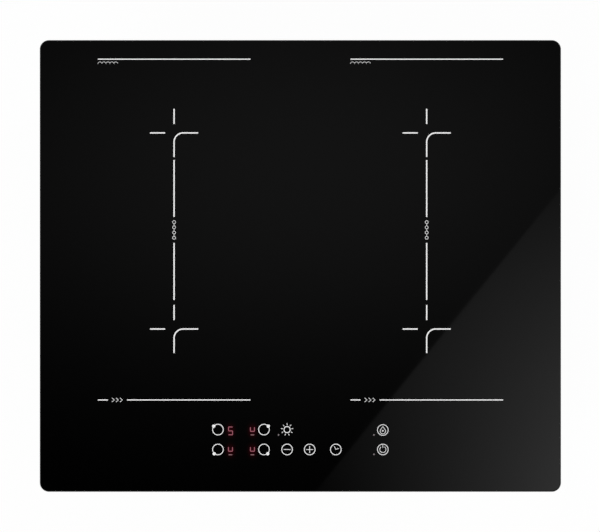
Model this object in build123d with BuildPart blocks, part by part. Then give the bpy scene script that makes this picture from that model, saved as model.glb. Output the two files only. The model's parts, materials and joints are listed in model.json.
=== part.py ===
from build123d import *
import os
from math import cos, radians, sin, sqrt

os.makedirs("parts", exist_ok=True)

# Built-in induction hob in millimetres: X to the right, Y to the back, Z up.
# The origin is the middle of the glass's top, the cooking surface.

# Glass top and seal
glass_w = 600.0
glass_d = 520.0
glass_t = 4.0
glass_corner_r = 10.5
glass_bevel = 1.0
glass_under_bevel = 0.4
gasket_t = 2.0
gasket_w = 10.0
gasket_inset = 3.0
gasket_corner = 4.0
gasket_joint = 0.2

# Steel frame bonded under the glass
bond_t = 0.8
bond_w = 6.0
bond_inset = 1.0
frame_t = 1.2
flange_w = 8.0
flange_corner = 5.0
skirt_h = 12.0
skirt_gap = 0.2

# Sheet steel case
overhang_x = 22.0
overhang_y = 17.0
case_h = 50.0
case_corner_r = 8.0
sheet_t = 0.8
bend = 2.0
panel_inset = 6.0
panel_step = 2.5
panel_corner = 6.0

# Screws, drawn with hexagon washer heads and hexagonal cores
screw_r = 1.75
screw_head_r = 3.6
screw_head_h = 1.6
screw_gap = 0.1
sides = 6
small_sides = 6
case_screw_drop = 6.0
case_screw_length = 5.5
case_screw_span_x = 380.0
case_screw_span_y = 320.0

# Cooking zones and their coils
zone_side_inset = 154.5
zone_rear_inset = 106.7
zone_front_inset = 187.4
mica_t = 0.6
winding_t = 3.4
winding_r = 76.0
winding_turns = 6
winding_gap = 1.0
winding_steps = 9
former_t = 1.8
rim_w = 2.6
rim_gap = 1.0
rim_lip_drop = 0.6
rim_sides = 12
hub_r = 14.0
hub_bore_r = 9.0
hub_gap = 1.0
hub_sides = 12
ferrite_t = 4.5
ferrite_w = 13.0
ferrite_l = 50.0
ferrite_count = 6
ferrite_start_r = 20.0
arm_margin = 1.5
ear_r = 5.0
ear_count = 3
ear_sides = 6
screw_tip = 2.0
sensor_r = 8.0
sensor_cap_t = 3.0
sensor_stem_r = 4.0

# Aluminium plate that carries the coils
plate_t = 1.5
plate_gap = 4.0
plate_lip_h = 5.0
pillar_r = 4.5
pillar_edge = 9.0
pillar_rear_inset = 20.0
pillar_rear_x = 52.0
pillar_side_inset = 117.0
pillar_front_inset = 78.0
pillar_thread = 7.5
lead_slot_w = 8.0
lead_slot_l = 26.0
lead_slot_out = 12.0

# Blowers, one behind each power board
impeller_r = 38.0
impeller_bore_r = 21.0
impeller_h = 15.0
impeller_gap = 1.2
impeller_sides = 20
back_plate_t = 1.2
blade_t = 1.2
blade_bow = 2.4
blade_sweep = 38.0
blade_count = 7
volute_gap = 4.0
volute_growth = 4.0
blower_wall = 1.6
blower_h = 27.0
blower_mouth = 58.0
blower_throat = 2.0
blower_back_gap = 20.0
motor_r = 11.0
motor_h = 9.0
hub_wall = 1.6
motor_gap = 1.0
shaft_r = 1.5
shaft_gap = 0.05
lug_r = 5.0
lug_h = 5.0
lug_angles = (20.0, 110.0, 300.0)
intake_r = 31.0
intake_slot_w = 4.0
intake_pitch = 7.5
intake_slots = 8
slot_corner = 1.2

# Power boards and what stands on them
board_t = 1.6
board_w = 200.0
board_d = 250.0
board_side_gap = 22.0
board_mouth_gap = 4.0
board_lift = 6.0
board_edge = 8.0
spacer_r = 4.0
blower_shift = 25.0
headroom = 5.0
sink_w = 46.0
sink_l = 150.0
sink_base_t = 4.0
sink_fin_t = 1.6
sink_fins = 8
sink_mouth_gap = 8.0
chip_w = 16.0
chip_h = 21.0
chip_t = 5.0
chip_lift = 4.0
chip_pitch = 44.0
chip_count = 3
lead_w = 1.4
lead_t = 0.8
lead_pitch = 5.4
lead_count = 3
capacitor_w = 18.0
capacitor_d = 32.0
capacitor_h = 24.0
capacitor_chamfer = 1.2
capacitor_gap_x = 10.0
capacitor_gap_y = 12.0
capacitor_offset_x = 48.0
capacitor_offset_y = 50.0
choke_r = 22.0
choke_bore_r = 10.0
choke_h = 18.0
choke_sides = 12
choke_edge = 3.0
choke_offset_x = 48.0
choke_offset_y = -75.0

# Mains filter board between the blowers
filter_w = 120.0
filter_d = 80.0
filter_rear_gap = 42.0

# Touch control unit behind the front edge
control_inset = 59.8
key_row_pitch = 22.4
key_edge = 14.0
control_w = 226.0
control_wall = 2.0
control_gap = 0.3
control_lip = 1.5
control_floor = 1.2
pad_h = 6.0
pad_r = 5.0
rear_keys_x = (-94.9, -41.9, -15.4, 95.2)
front_keys_x = (-94.9, -41.9, -15.4, 11.1, 41.0, 95.2)
digit_x = (-80.5, -55.2)
digit_shift = 1.4
digit_w = 9.0
digit_d = 13.5
digit_gap = 0.6
lamp_r = 1.5
lamp_gap = 0.4
lamp_shift = 5.6
rear_lamps_x = (-25.2, 84.7)
front_lamps_x = (84.7,)

# Terminal box in a pocket of the case
pocket_w = 72.0
pocket_d = 93.0
pocket_h = 28.0
pocket_side = 10.0
box_gap = 0.3
box_wall = 2.0
box_rear_wall = 3.0
inlet_r = 7.0
inlet_drop = 12.0
lid_t = 2.0
lid_recess = 0.6
lid_gap = 0.4
lid_catch_w = 14.0
lid_catch_h = 5.0
lid_catch_t = 1.4
hinge_r = 3.2
hinge_pin_r = 1.8
hinge_pin_gap = 0.08
hinge_length = 6.0
hinge_sides = 12
hinge_lift = 3.8
block_w = 52.0
block_d = 22.0
block_h = 14.0
block_poles = 5
block_slot_w = 1.6
block_slot_h = 6.0
block_bore_r = 2.2
block_front_gap = 26.0
box_screw_pitch = 40.0
box_screw_inset = 14.0

# Worktop clamps on the side walls
worktop_t = 30.0
clamp_travel = 8.0
clamp_w = 26.0
clamp_t = 1.5
clamp_reach = 18.0
clamp_leg = 19.0
clamp_bend_r = 2.0
clamp_slot_w = 4.6
clamp_slot_edge = 3.0
clamp_span = 300.0
clamp_screw_length = 8.0

# Openings in the case
exhaust_slot_w = 60.0
exhaust_slot_h = 4.0
exhaust_pitch_x = 72.0
exhaust_pitch_z = 8.0
exhaust_columns = 3
exhaust_rows = 3
exhaust_drop = 28.0
louvre_w = 60.0
louvre_d = 9.0
louvre_h = 3.2
louvre_pitch_x = 76.0
louvre_pitch_y = 16.0
louvre_columns = 2
louvre_rows = 2
louvre_front_inset = 44.0
vent_slot_w = 4.0
vent_slot_h = 18.0
vent_pitch = 9.0
vent_count = 12

# Screw holes
hole_r = screw_r + screw_gap

# Levels, from the glass down
glass_z = -glass_t
seat_z = glass_z - gasket_t
flange_top = glass_z - bond_t
frame_z = flange_top - frame_t
case_z = frame_z - case_h
rim_floor_z = case_z + sheet_t
panel_z = case_z + panel_step
floor_z = panel_z + sheet_t
mica_z = glass_z - mica_t
winding_z = mica_z - winding_t
former_z = winding_z - former_t
former_top = winding_z
plate_top = former_z - ferrite_t
plate_z = plate_top - plate_t
board_z = floor_z + board_lift
board_top = board_z + board_t
control_z = glass_z - pad_h - board_t
control_top = control_z + board_t
roof_z = floor_z + blower_h - blower_wall
plate_high = roof_z - impeller_gap
cup_r = motor_r + motor_gap + hub_wall
cup_z = roof_z - motor_h - motor_gap - hub_wall

# Outlines of the nested frames
case_w = glass_w - 2 * overhang_x
case_d = glass_d - 2 * overhang_y
inner_w = case_w - 2 * sheet_t
inner_d = case_d - 2 * sheet_t
inner_r = case_corner_r - sheet_t
skirt_w = inner_w - 2 * skirt_gap
skirt_d = inner_d - 2 * skirt_gap
plate_w = skirt_w - 2 * frame_t - 2 * plate_gap
plate_d = skirt_d - 2 * frame_t - 2 * plate_gap
gasket_ow = glass_w - 2 * gasket_inset
gasket_od = glass_d - 2 * gasket_inset

# Centres of the zones, boards, blowers and controls
zone_x = glass_w / 2 - zone_side_inset
rear_zone_y = glass_d / 2 - zone_rear_inset
front_zone_y = zone_front_inset - glass_d / 2
zones = {
    "rear_left": (-zone_x, rear_zone_y),
    "rear_right": (zone_x, rear_zone_y),
    "front_left": (-zone_x, front_zone_y),
    "front_right": (zone_x, front_zone_y),
}
former_r = winding_r + rim_gap + rim_w
ferrite_turn = 180.0 / ferrite_count
ear_ring = former_r + screw_head_r + screw_gap
volute_r = impeller_r + volute_gap
volute_r2 = volute_r + volute_growth
volute_r3 = volute_r2 + volute_growth
blower_left = volute_growth + volute_r3
lug_reach = volute_r2 + lug_r
blower_y = inner_d / 2 - blower_back_gap - volute_r2
board_x = inner_w / 2 - board_side_gap - board_w / 2
board_rear = blower_y - blower_mouth - board_mouth_gap
board_y = board_rear - board_d / 2
halves = {"left": -board_x, "right": board_x}
blower_x = {half: x - blower_shift for half, x in halves.items()}
sink_x = {half: x - (blower_left + blower_throat) / 2 for half, x in blower_x.items()}
sink_y = blower_y - blower_mouth - sink_mouth_gap - sink_l / 2
sink_h = plate_z - headroom - board_top
filter_x = (blower_x["left"] + volute_r + blower_x["right"] - blower_left) / 2
filter_y = inner_d / 2 - filter_rear_gap - filter_d / 2
control_y = control_inset - glass_d / 2
rear_row_y = control_y + key_row_pitch / 2
front_row_y = control_y - key_row_pitch / 2
control_d = key_row_pitch + 2 * key_edge
keys = [(x, rear_row_y) for x in rear_keys_x] + [(x, front_row_y) for x in front_keys_x]
digits = [(x, y - digit_shift) for x in digit_x for y in (rear_row_y, front_row_y)]
lamps = [(x, rear_row_y - lamp_shift) for x in rear_lamps_x]
lamps += [(x, front_row_y - lamp_shift) for x in front_lamps_x]
pocket_x = case_w / 2 - pocket_side - pocket_w / 2
pocket_y = case_d / 2 - pocket_d / 2
pocket_front = case_d / 2 - pocket_d
pocket_top = case_z + pocket_h
box_screws_y = pocket_front + box_screw_inset
box_screws = [(pocket_x + side * box_screw_pitch / 2, box_screws_y) for side in (-1, 1)]

# Terminal box, its hinge and its block
box_w = pocket_w - 2 * box_gap
box_d = pocket_d - box_gap
box_y = case_d / 2 - box_d / 2
lid_z = case_z + lid_recess
box_z = lid_z + lid_t + lid_gap
chamber_d = box_d - box_wall - box_rear_wall
chamber_front = case_d / 2 - box_d + box_wall
chamber_y = chamber_front + chamber_d / 2
inlet_z = pocket_top - inlet_drop
hinge_y = chamber_front + lid_gap + sqrt(hinge_r**2 + hinge_lift**2)
hinge_z = lid_z + hinge_lift
lid_w = pocket_w - 2 * lid_gap
tongue_w = box_w - 2 * box_wall - 2 * lid_gap
lid_rear = case_d / 2 - lid_gap
catch_y = chamber_front + chamber_d - lid_gap - lid_catch_t / 2
block_y = chamber_front + block_front_gap + block_d / 2
block_z = pocket_top - box_wall - block_h

# Pillars under the coil plate and spacers under the boards
pillar_x = plate_w / 2 - pillar_edge
pillars = [(x, inner_d / 2 - pillar_rear_inset) for x in (-pillar_rear_x, pillar_rear_x)]
pillars += [(x, inner_d / 2 - pillar_side_inset) for x in (-pillar_x, pillar_x)]
pillars += [(x, pillar_front_inset - inner_d / 2) for x in (-pillar_x, pillar_x)]


def corners(x, y, w, d):
    """Stud places near the four corners of a board."""
    half_w = w / 2 - board_edge
    half_d = d / 2 - board_edge
    return [(x + i * half_w, y + j * half_d) for i in (-1, 1) for j in (-1, 1)]


spacers = corners(filter_x, filter_y, filter_w, filter_d)
for half_x in halves.values():
    spacers += corners(half_x, board_y, board_w, board_d)

lugs = []
for half in halves:
    for angle in lug_angles:
        place = (lug_reach * cos(radians(angle)), lug_reach * sin(radians(angle)))
        lugs.append((blower_x[half] + place[0], blower_y + place[1]))

ears = []
for zone in zones.values():
    for step in range(ear_count):
        angle = radians(360.0 * step / ear_count)
        ears.append((zone[0] + ear_ring * cos(angle), zone[1] + ear_ring * sin(angle)))

louvres = []
for half_x in halves.values():
    for column in range(louvre_columns):
        for row in range(louvre_rows):
            x = half_x + (column - (louvre_columns - 1) / 2) * louvre_pitch_x
            louvres.append((x, louvre_front_inset - inner_d / 2 + row * louvre_pitch_y))

# Wall planes whose Z axis points out of the case, for screws and clamps
screw_z = frame_z - case_screw_drop
case_screws_at = []
for sign in (-1, 1):
    for y in (-case_screw_span_y / 2, case_screw_span_y / 2):
        case_screws_at.append(Plane((sign * case_w / 2, y, screw_z), x_dir=(0, 1, 0), z_dir=(sign, 0, 0)))
    for x in (-case_screw_span_x / 2, case_screw_span_x / 2):
        case_screws_at.append(Plane((x, sign * case_d / 2, screw_z), x_dir=(1, 0, 0), z_dir=(0, sign, 0)))

clamp_z = seat_z - worktop_t
clamp_slot_l = clamp_travel + clamp_slot_w
clamp_foot_z = clamp_z - clamp_leg
clamp_screw_z = clamp_foot_z + clamp_slot_edge + clamp_slot_w / 2
clamps = {}
for x_name, x_sign in (("left", -1), ("right", 1)):
    for y_name, y_sign in (("front", -1), ("rear", 1)):
        clamps[f"{y_name}_{x_name}"] = (x_sign, y_sign * clamp_span / 2)
clamp_screws_at = [
    Plane((sign * case_w / 2, y, clamp_screw_z), x_dir=(0, 1, 0), z_dir=(sign, 0, 0))
    for sign, y in clamps.values()
]


def save(part, name):
    """Label a finished piece and write it under its own name."""
    part.label = name
    export_step(part, f"parts/{name}.step")


def pegs(planes, radius, depth):
    """Hexagonal cores that reach from each plane back into the wall, used to cut screw holes."""
    with BuildPart() as group:
        for plane in planes:
            with BuildSketch(plane):
                RegularPolygon(radius, sides)
            extrude(amount=-depth)
    return group.part


def screws(planes, length):
    """Hexagon-headed screws seated on the given planes."""
    with BuildPart() as group:
        for plane in planes:
            with BuildSketch(plane):
                RegularPolygon(screw_head_r, sides)
            extrude(amount=screw_head_h)
        add(pegs(planes, screw_r, length))
    return group.part


def upright(points, z, up=True):
    """Planes at one height whose Z axis points up, or down."""
    return [Plane((x, y, z), x_dir=(1, 0, 0), z_dir=(0, 0, 1 if up else -1)) for x, y in points]


# Glass top with a ground bevel around its upper edge
with BuildPart() as glass_top:
    with BuildSketch(Plane.XY.offset(glass_z)):
        RectangleRounded(glass_w, glass_d, glass_corner_r)
    extrude(amount=glass_t)
    chamfer(glass_top.faces().sort_by(Axis.Z)[-1].edges(), glass_bevel)
    chamfer(glass_top.faces().sort_by(Axis.Z)[0].edges(), glass_under_bevel)
save(glass_top.part, "glass_top")

# Foam seal between the glass and the worktop, four strips of tape butted at the corners
with BuildPart() as sealing_gasket:
    with BuildSketch(Plane.XY.offset(seat_z)):
        tape = Rectangle(gasket_ow, gasket_od)
        chamfer(tape.vertices(), gasket_corner)
        Rectangle(gasket_ow - 2 * gasket_w, gasket_od - 2 * gasket_w, mode=Mode.SUBTRACT)
        with GridLocations(1, gasket_od - 2 * gasket_w - gasket_joint, 1, 2):
            Rectangle(gasket_ow, gasket_joint, mode=Mode.SUBTRACT)
    extrude(amount=gasket_t)
save(sealing_gasket.part, "sealing_gasket")

# Silicone bead that bonds the frame to the glass
with BuildPart() as silicone_bond:
    with BuildSketch(Plane.XY.offset(flange_top)):
        bead_w = case_w - 2 * bond_inset
        bead_d = case_d - 2 * bond_inset
        bead = Rectangle(bead_w, bead_d)
        chamfer(bead.vertices(), flange_corner)
        Rectangle(bead_w - 2 * bond_w, bead_d - 2 * bond_w, mode=Mode.SUBTRACT)
    extrude(amount=bond_t)
save(silicone_bond.part, "silicone_bond")

# Folded frame: a flange under the glass and four skirts inside the case, open at the corners
with BuildPart() as support_frame:
    with BuildSketch(Plane.XY.offset(frame_z)):
        flange = Rectangle(case_w, case_d)
        chamfer(flange.vertices(), flange_corner)
        Rectangle(case_w - 2 * flange_w, case_d - 2 * flange_w, mode=Mode.SUBTRACT)
    extrude(amount=frame_t)
    with BuildSketch(Plane.XY.offset(frame_z)):
        with GridLocations(skirt_w - frame_t, 1, 2, 1):
            Rectangle(frame_t, inner_d - 2 * case_corner_r)
        with GridLocations(1, skirt_d - frame_t, 1, 2):
            Rectangle(inner_w - 2 * case_corner_r, frame_t)
    extrude(amount=-skirt_h)
    add(pegs(case_screws_at, hole_r, sheet_t + skirt_gap + frame_t), mode=Mode.SUBTRACT)
save(support_frame.part, "support_frame")

# Hollow of the case: walls, rim and raised floor panel, with the terminal pocket left standing
with BuildPart() as hollow:
    with BuildSketch(Plane.XY.offset(rim_floor_z)):
        RectangleRounded(inner_w, inner_d, inner_r)
    extrude(amount=frame_z - rim_floor_z)
    chamfer(hollow.faces().sort_by(Axis.Z)[0].edges(), bend - sheet_t)
    with BuildSketch(Plane.XY.offset(rim_floor_z)):
        panel_edge = panel_inset - sheet_t
        step = Rectangle(case_w - 2 * panel_edge, case_d - 2 * panel_edge)
        chamfer(step.vertices(), panel_corner)
    extrude(amount=panel_step, mode=Mode.SUBTRACT)
    with BuildSketch(Plane.XY.offset(rim_floor_z)):
        with Locations((pocket_x, pocket_y - sheet_t)):
            Rectangle(pocket_w + 2 * sheet_t, pocket_d)
    extrude(amount=pocket_top + sheet_t - rim_floor_z, mode=Mode.SUBTRACT)

# Folded case with its pressed floor, blower grilles, louvres and wall slots
with BuildPart() as bottom_case:
    with BuildSketch(Plane.XY.offset(case_z)):
        RectangleRounded(case_w, case_d, case_corner_r)
    extrude(amount=case_h)
    chamfer(bottom_case.faces().sort_by(Axis.Z)[0].edges(), bend)
    with BuildSketch(Plane.XY.offset(case_z)):
        panel = Rectangle(case_w - 2 * panel_inset, case_d - 2 * panel_inset)
        chamfer(panel.vertices(), panel_corner)
    extrude(amount=panel_step, mode=Mode.SUBTRACT)
    add(hollow.part, mode=Mode.SUBTRACT)
    # Pocket for the terminal box, open below and behind
    with BuildSketch(Plane.XY.offset(case_z)):
        with Locations((pocket_x, pocket_y)):
            Rectangle(pocket_w, pocket_d)
    extrude(amount=pocket_h, mode=Mode.SUBTRACT)
    # Louvre hoods pressed inwards under the front of the boards, hollowed from below and open to the rear
    for x, y in louvres:
        with BuildSketch(Plane.YZ.offset(x)):
            with Locations((y, floor_z)):
                Triangle(a=louvre_d, b=louvre_h, C=90, align=Align.MIN)
        extrude(amount=louvre_w / 2 + sheet_t, both=True)
    for x, y in louvres:
        with BuildSketch(Plane.YZ.offset(x)):
            with Locations((y + sheet_t, panel_z)):
                Triangle(a=louvre_d, b=louvre_h, C=90, align=Align.MIN)
        extrude(amount=louvre_w / 2, both=True, mode=Mode.SUBTRACT)
    # Straight slots inside the circle of each blower's eye
    with BuildSketch(Plane.XY.offset(panel_z)) as intake:
        for half in halves:
            for slot in range(intake_slots):
                across = (slot - (intake_slots - 1) / 2) * intake_pitch
                with Locations((blower_x[half], blower_y + across)):
                    Rectangle(2 * sqrt(intake_r**2 - across**2), intake_slot_w)
        chamfer(intake.vertices(), slot_corner)
    extrude(amount=sheet_t, mode=Mode.SUBTRACT)
    # Exhaust slots low in the front wall
    with BuildSketch(Plane.XZ.offset(case_d / 2)):
        for half_x in halves.values():
            with Locations((half_x, frame_z - exhaust_drop)):
                with GridLocations(exhaust_pitch_x, exhaust_pitch_z, exhaust_columns, exhaust_rows):
                    Rectangle(exhaust_slot_w, exhaust_slot_h)
    extrude(amount=-sheet_t, mode=Mode.SUBTRACT)
    # Upright vents in the rear wall behind the filter board
    with BuildSketch(Plane.XZ.offset(-case_d / 2)):
        with Locations((filter_x, frame_z - exhaust_drop)):
            with GridLocations(vent_pitch, vent_slot_h, vent_count, 1):
                Rectangle(vent_slot_w, vent_slot_h)
    extrude(amount=sheet_t, mode=Mode.SUBTRACT)
    # Screw holes in the walls, the floor and the pocket
    add(pegs(case_screws_at + clamp_screws_at, hole_r, sheet_t), mode=Mode.SUBTRACT)
    add(pegs(upright(pillars + lugs, panel_z, up=False), hole_r, sheet_t), mode=Mode.SUBTRACT)
    add(pegs(upright(box_screws, pocket_top, up=False), hole_r, sheet_t), mode=Mode.SUBTRACT)
save(bottom_case.part, "bottom_case")

save(screws(case_screws_at, case_screw_length), "case_screws")
save(screws(upright(pillars + lugs, panel_z, up=False), sheet_t + lug_h), "base_screws")

# Aluminium coil plate with turned-down lips, screw holes and slots for the coil leads
with BuildPart() as coil_plate:
    with BuildSketch(Plane.XY.offset(plate_z - plate_lip_h)):
        Rectangle(plate_w, plate_d)
    extrude(amount=plate_lip_h + plate_t)
    with BuildSketch(Plane.XY.offset(plate_z - plate_lip_h)):
        Rectangle(plate_w - 2 * plate_t, plate_d - 2 * plate_t)
    extrude(amount=plate_lip_h, mode=Mode.SUBTRACT)
    add(pegs(upright(pillars + ears, plate_top), hole_r, plate_t), mode=Mode.SUBTRACT)
    with BuildSketch(Plane.XY.offset(plate_z)):
        for zone in zones.values():
            with Locations((zone[0], zone[1] + former_r + lead_slot_out)):
                Rectangle(lead_slot_l, lead_slot_w)
    extrude(amount=plate_t, mode=Mode.SUBTRACT)
save(coil_plate.part, "coil_plate")

# Pillars that carry the plate on the case floor
with BuildPart() as plate_pillars:
    with BuildSketch(Plane.XY.offset(floor_z)):
        with Locations(*pillars):
            RegularPolygon(pillar_r, sides)
            RegularPolygon(hole_r, sides, mode=Mode.SUBTRACT)
    extrude(amount=plate_z - floor_z)
save(plate_pillars.part, "plate_pillars")
save(screws(upright(pillars, plate_top), plate_t + pillar_thread), "plate_screws")


def coil_former(zone):
    """Moulded spider: rim, hub, radial arms over the ferrites and screw ears on the plate."""
    with BuildPart() as former:
        with BuildSketch(Plane.XY.offset(former_z)):
            with Locations(zone):
                RegularPolygon(former_r, rim_sides)
                RegularPolygon(former_r - rim_w, rim_sides, mode=Mode.SUBTRACT)
                arm_length = former_r - rim_w / 2 - hub_bore_r
                with PolarLocations(hub_bore_r + arm_length / 2, ferrite_count, ferrite_turn):
                    Rectangle(arm_length, ferrite_w + 2 * arm_margin)
                RegularPolygon(hub_r, hub_sides)
                RegularPolygon(hub_bore_r, hub_sides, mode=Mode.SUBTRACT)
        extrude(amount=former_t)
        with BuildSketch(Plane.XY.offset(former_top)):
            with Locations(zone):
                RegularPolygon(former_r, rim_sides)
                RegularPolygon(former_r - rim_w, rim_sides, mode=Mode.SUBTRACT)
        extrude(amount=winding_t - rim_lip_drop)
        with BuildSketch(Plane.XY.offset(plate_top)):
            with Locations(zone):
                RegularPolygon(hub_r, hub_sides)
                RegularPolygon(hub_bore_r, hub_sides, mode=Mode.SUBTRACT)
        extrude(amount=mica_z - plate_top)
        with BuildSketch(Plane.XY.offset(plate_top)):
            with Locations(zone):
                with PolarLocations(ear_ring, ear_count):
                    RegularPolygon(ear_r, ear_sides)
        extrude(amount=former_top - plate_top)
        with BuildSketch(Plane.XY.offset(plate_top)):
            with Locations(zone):
                with PolarLocations(ear_ring, ear_count, rotate=False):
                    RegularPolygon(hole_r, sides)
        extrude(amount=former_top - plate_top, mode=Mode.SUBTRACT)
    return former.part


def coil_winding(zone):
    """Flat spiral band of bundled wire, from the hub out to the rim."""
    start_r = hub_r + hub_gap
    pitch = (winding_r - start_r) / (winding_turns + 1)
    band = pitch - winding_gap
    inner = []
    outer = []
    for step in range(winding_turns * winding_steps + 1):
        angle = radians(360.0 * step / winding_steps)
        radius = start_r + pitch * step / winding_steps
        inner.append((radius * cos(angle), radius * sin(angle)))
        outer.append(((radius + band) * cos(angle), (radius + band) * sin(angle)))
    with BuildPart() as winding:
        with BuildSketch(Plane((zone[0], zone[1], winding_z))):
            with BuildLine():
                Polyline(*inner, *reversed(outer), close=True)
            make_face()
        extrude(amount=winding_t)
    return winding.part


def coil_ferrites(zone):
    """Ferrite bars glued under the former's arms."""
    with BuildPart() as ferrites:
        with BuildSketch(Plane.XY.offset(plate_top)):
            with Locations(zone):
                with PolarLocations(ferrite_start_r + ferrite_l / 2, ferrite_count, ferrite_turn):
                    Rectangle(ferrite_l, ferrite_w)
        extrude(amount=ferrite_t)
    return ferrites.part


for name, zone in zones.items():
    save(coil_former(zone), f"coil_former_{name}")
    save(coil_winding(zone), f"coil_winding_{name}")
    save(coil_ferrites(zone), f"coil_ferrites_{name}")
save(screws(upright(ears, former_top), former_top - plate_z + screw_tip), "coil_screws")

# Mica sheets that insulate the windings from the glass
with BuildPart() as mica_sheets:
    with BuildSketch(Plane.XY.offset(mica_z)):
        with Locations(*zones.values()):
            RegularPolygon(winding_r, small_sides)
            RegularPolygon(hub_bore_r, small_sides, mode=Mode.SUBTRACT)
    extrude(amount=mica_t)
save(mica_sheets.part, "mica_sheets")

# Temperature sensors that stand on the plate and touch the glass
with BuildPart() as temperature_sensors:
    with BuildSketch(Plane.XY.offset(plate_top)):
        with Locations(*zones.values()):
            RegularPolygon(sensor_stem_r, small_sides)
    extrude(amount=glass_z - sensor_cap_t - plate_top)
    with BuildSketch(Plane.XY.offset(glass_z)):
        with Locations(*zones.values()):
            RegularPolygon(sensor_r, small_sides)
    extrude(amount=-sensor_cap_t)
save(temperature_sensors.part, "temperature_sensors")


def volute(inset):
    """Blower outline of three growing quarter arcs and a straight mouth, drawn in by a wall."""
    with BuildSketch() as face:
        with BuildLine():
            start = (0, inset - volute_r)
            first = JernArc(start, (1, 0), volute_r - inset, 90)
            second = JernArc(first @ 1, first % 1, volute_r2 - inset, 90)
            third = JernArc(second @ 1, second % 1, volute_r3 - inset, 90)
            Polyline(
                third @ 1,
                (inset - blower_left, -blower_mouth),
                (-blower_throat - inset, -blower_mouth),
                (-blower_throat - inset, inset - volute_r),
                start,
            )
        make_face()
    return face.sketch


def blower_housing(x):
    """Moulded volute, open below over the case grille, with screw lugs on the floor."""
    with BuildPart() as housing:
        with BuildSketch(Plane((x, blower_y, floor_z))):
            add(volute(0))
        extrude(amount=blower_h)
        with BuildSketch(Plane((x, blower_y, floor_z))):
            for angle in lug_angles:
                with PolarLocations(lug_reach / 2, 1, angle):
                    Rectangle(lug_reach, 2 * lug_r)
                with PolarLocations(lug_reach, 1, angle):
                    RegularPolygon(lug_r, small_sides)
        extrude(amount=lug_h)
        with BuildSketch(Plane((x, blower_y, floor_z))):
            add(volute(blower_wall))
        extrude(amount=blower_h - blower_wall, mode=Mode.SUBTRACT)
        add(pegs(upright(lugs, floor_z, up=False), hole_r, lug_h), mode=Mode.SUBTRACT)
    return housing.part


def blower_motor(x):
    """Stator hung from the housing roof, with the fixed spindle."""
    with BuildPart() as motor:
        with BuildSketch(Plane((x, blower_y, roof_z))):
            RegularPolygon(motor_r, hub_sides)
        extrude(amount=-motor_h)
        with BuildSketch(Plane((x, blower_y, roof_z))):
            RegularPolygon(shaft_r, hub_sides)
        extrude(amount=cup_z - roof_z)
    return motor.part


def blower_rotor(x):
    """Impeller: hub cup on the spindle, back plate and bowed blades that lean backwards."""
    with BuildPart() as rotor:
        with BuildSketch(Plane((x, blower_y, cup_z))):
            RegularPolygon(cup_r, hub_sides)
        extrude(amount=plate_high - cup_z)
        with BuildSketch(Plane((x, blower_y, plate_high))):
            RegularPolygon(impeller_r, impeller_sides)
        extrude(amount=-back_plate_t)
        with BuildSketch(Plane((x, blower_y, cup_z + hub_wall))):
            RegularPolygon(motor_r + motor_gap, hub_sides)
        extrude(amount=plate_high - cup_z, mode=Mode.SUBTRACT)
        with BuildSketch(Plane((x, blower_y, cup_z))):
            Circle(shaft_r + shaft_gap)
        extrude(amount=hub_wall, mode=Mode.SUBTRACT)
        with BuildSketch(Plane((x, blower_y, plate_high - back_plate_t))):
            with PolarLocations(0, blade_count):
                add(blade())
        extrude(amount=-impeller_h)
    return rotor.part


def blade():
    """Plan of one blade: a bowed strip from the eye to the rim, swept back from the radius."""
    tip_r = impeller_r - blade_t
    tip = (tip_r * cos(radians(blade_sweep)), tip_r * sin(radians(blade_sweep)))
    with BuildSketch() as plan:
        with BuildLine():
            SagittaArc((impeller_bore_r, 0), tip, blade_bow)
        trace(line_width=blade_t)
    return plan.sketch


for half, x in blower_x.items():
    save(blower_housing(x), f"blower_housing_{half}")
    save(blower_motor(x), f"blower_motor_{half}")
    save(blower_rotor(x), f"blower_rotor_{half}")


def circuit_board(x, y, w, d, z):
    """Plain board with a stud hole near each corner."""
    with BuildPart() as board:
        with BuildSketch(Plane((x, y, z))):
            Rectangle(w, d)
        extrude(amount=board_t)
        add(pegs(upright(corners(x, y, w, d), z + board_t), hole_r, board_t), mode=Mode.SUBTRACT)
    return board.part


def heat_sink(x):
    """Extruded heat sink with upright fins in line with the blower's mouth."""
    with BuildPart() as sink:
        with BuildSketch(Plane((x, sink_y, board_top))):
            Rectangle(sink_w, sink_l)
        extrude(amount=sink_base_t)
        with BuildSketch(Plane((x, sink_y, board_top + sink_base_t))):
            with GridLocations((sink_w - sink_fin_t) / (sink_fins - 1), 1, sink_fins, 1):
                Rectangle(sink_fin_t, sink_l)
        extrude(amount=sink_h - sink_base_t)
    return sink.part


def power_transistors(x):
    """Power switches clamped flat to the outer fin, on three legs each."""
    with BuildPart() as chips:
        with BuildSketch(Plane((x + (sink_w + chip_t) / 2, sink_y, board_top + chip_lift))):
            with GridLocations(1, chip_pitch, 1, chip_count):
                Rectangle(chip_t, chip_w)
        extrude(amount=chip_h)
        with BuildSketch(Plane((x + (sink_w + chip_t) / 2, sink_y, board_top))):
            with GridLocations(1, chip_pitch, 1, chip_count):
                with GridLocations(1, lead_pitch, 1, lead_count):
                    Rectangle(lead_t, lead_w)
        extrude(amount=chip_lift)
    return chips.part


def film_capacitors(x):
    """Block of boxed film capacitors."""
    with BuildPart() as boxes:
        with BuildSketch(Plane((x + capacitor_offset_x, board_y + capacitor_offset_y, board_top))):
            with GridLocations(capacitor_w + capacitor_gap_x, capacitor_d + capacitor_gap_y, 2, 2):
                Rectangle(capacitor_w, capacitor_d)
        extrude(amount=capacitor_h)
        chamfer(boxes.faces().group_by(Axis.Z)[-1].edges(), capacitor_chamfer)
    return boxes.part


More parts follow.
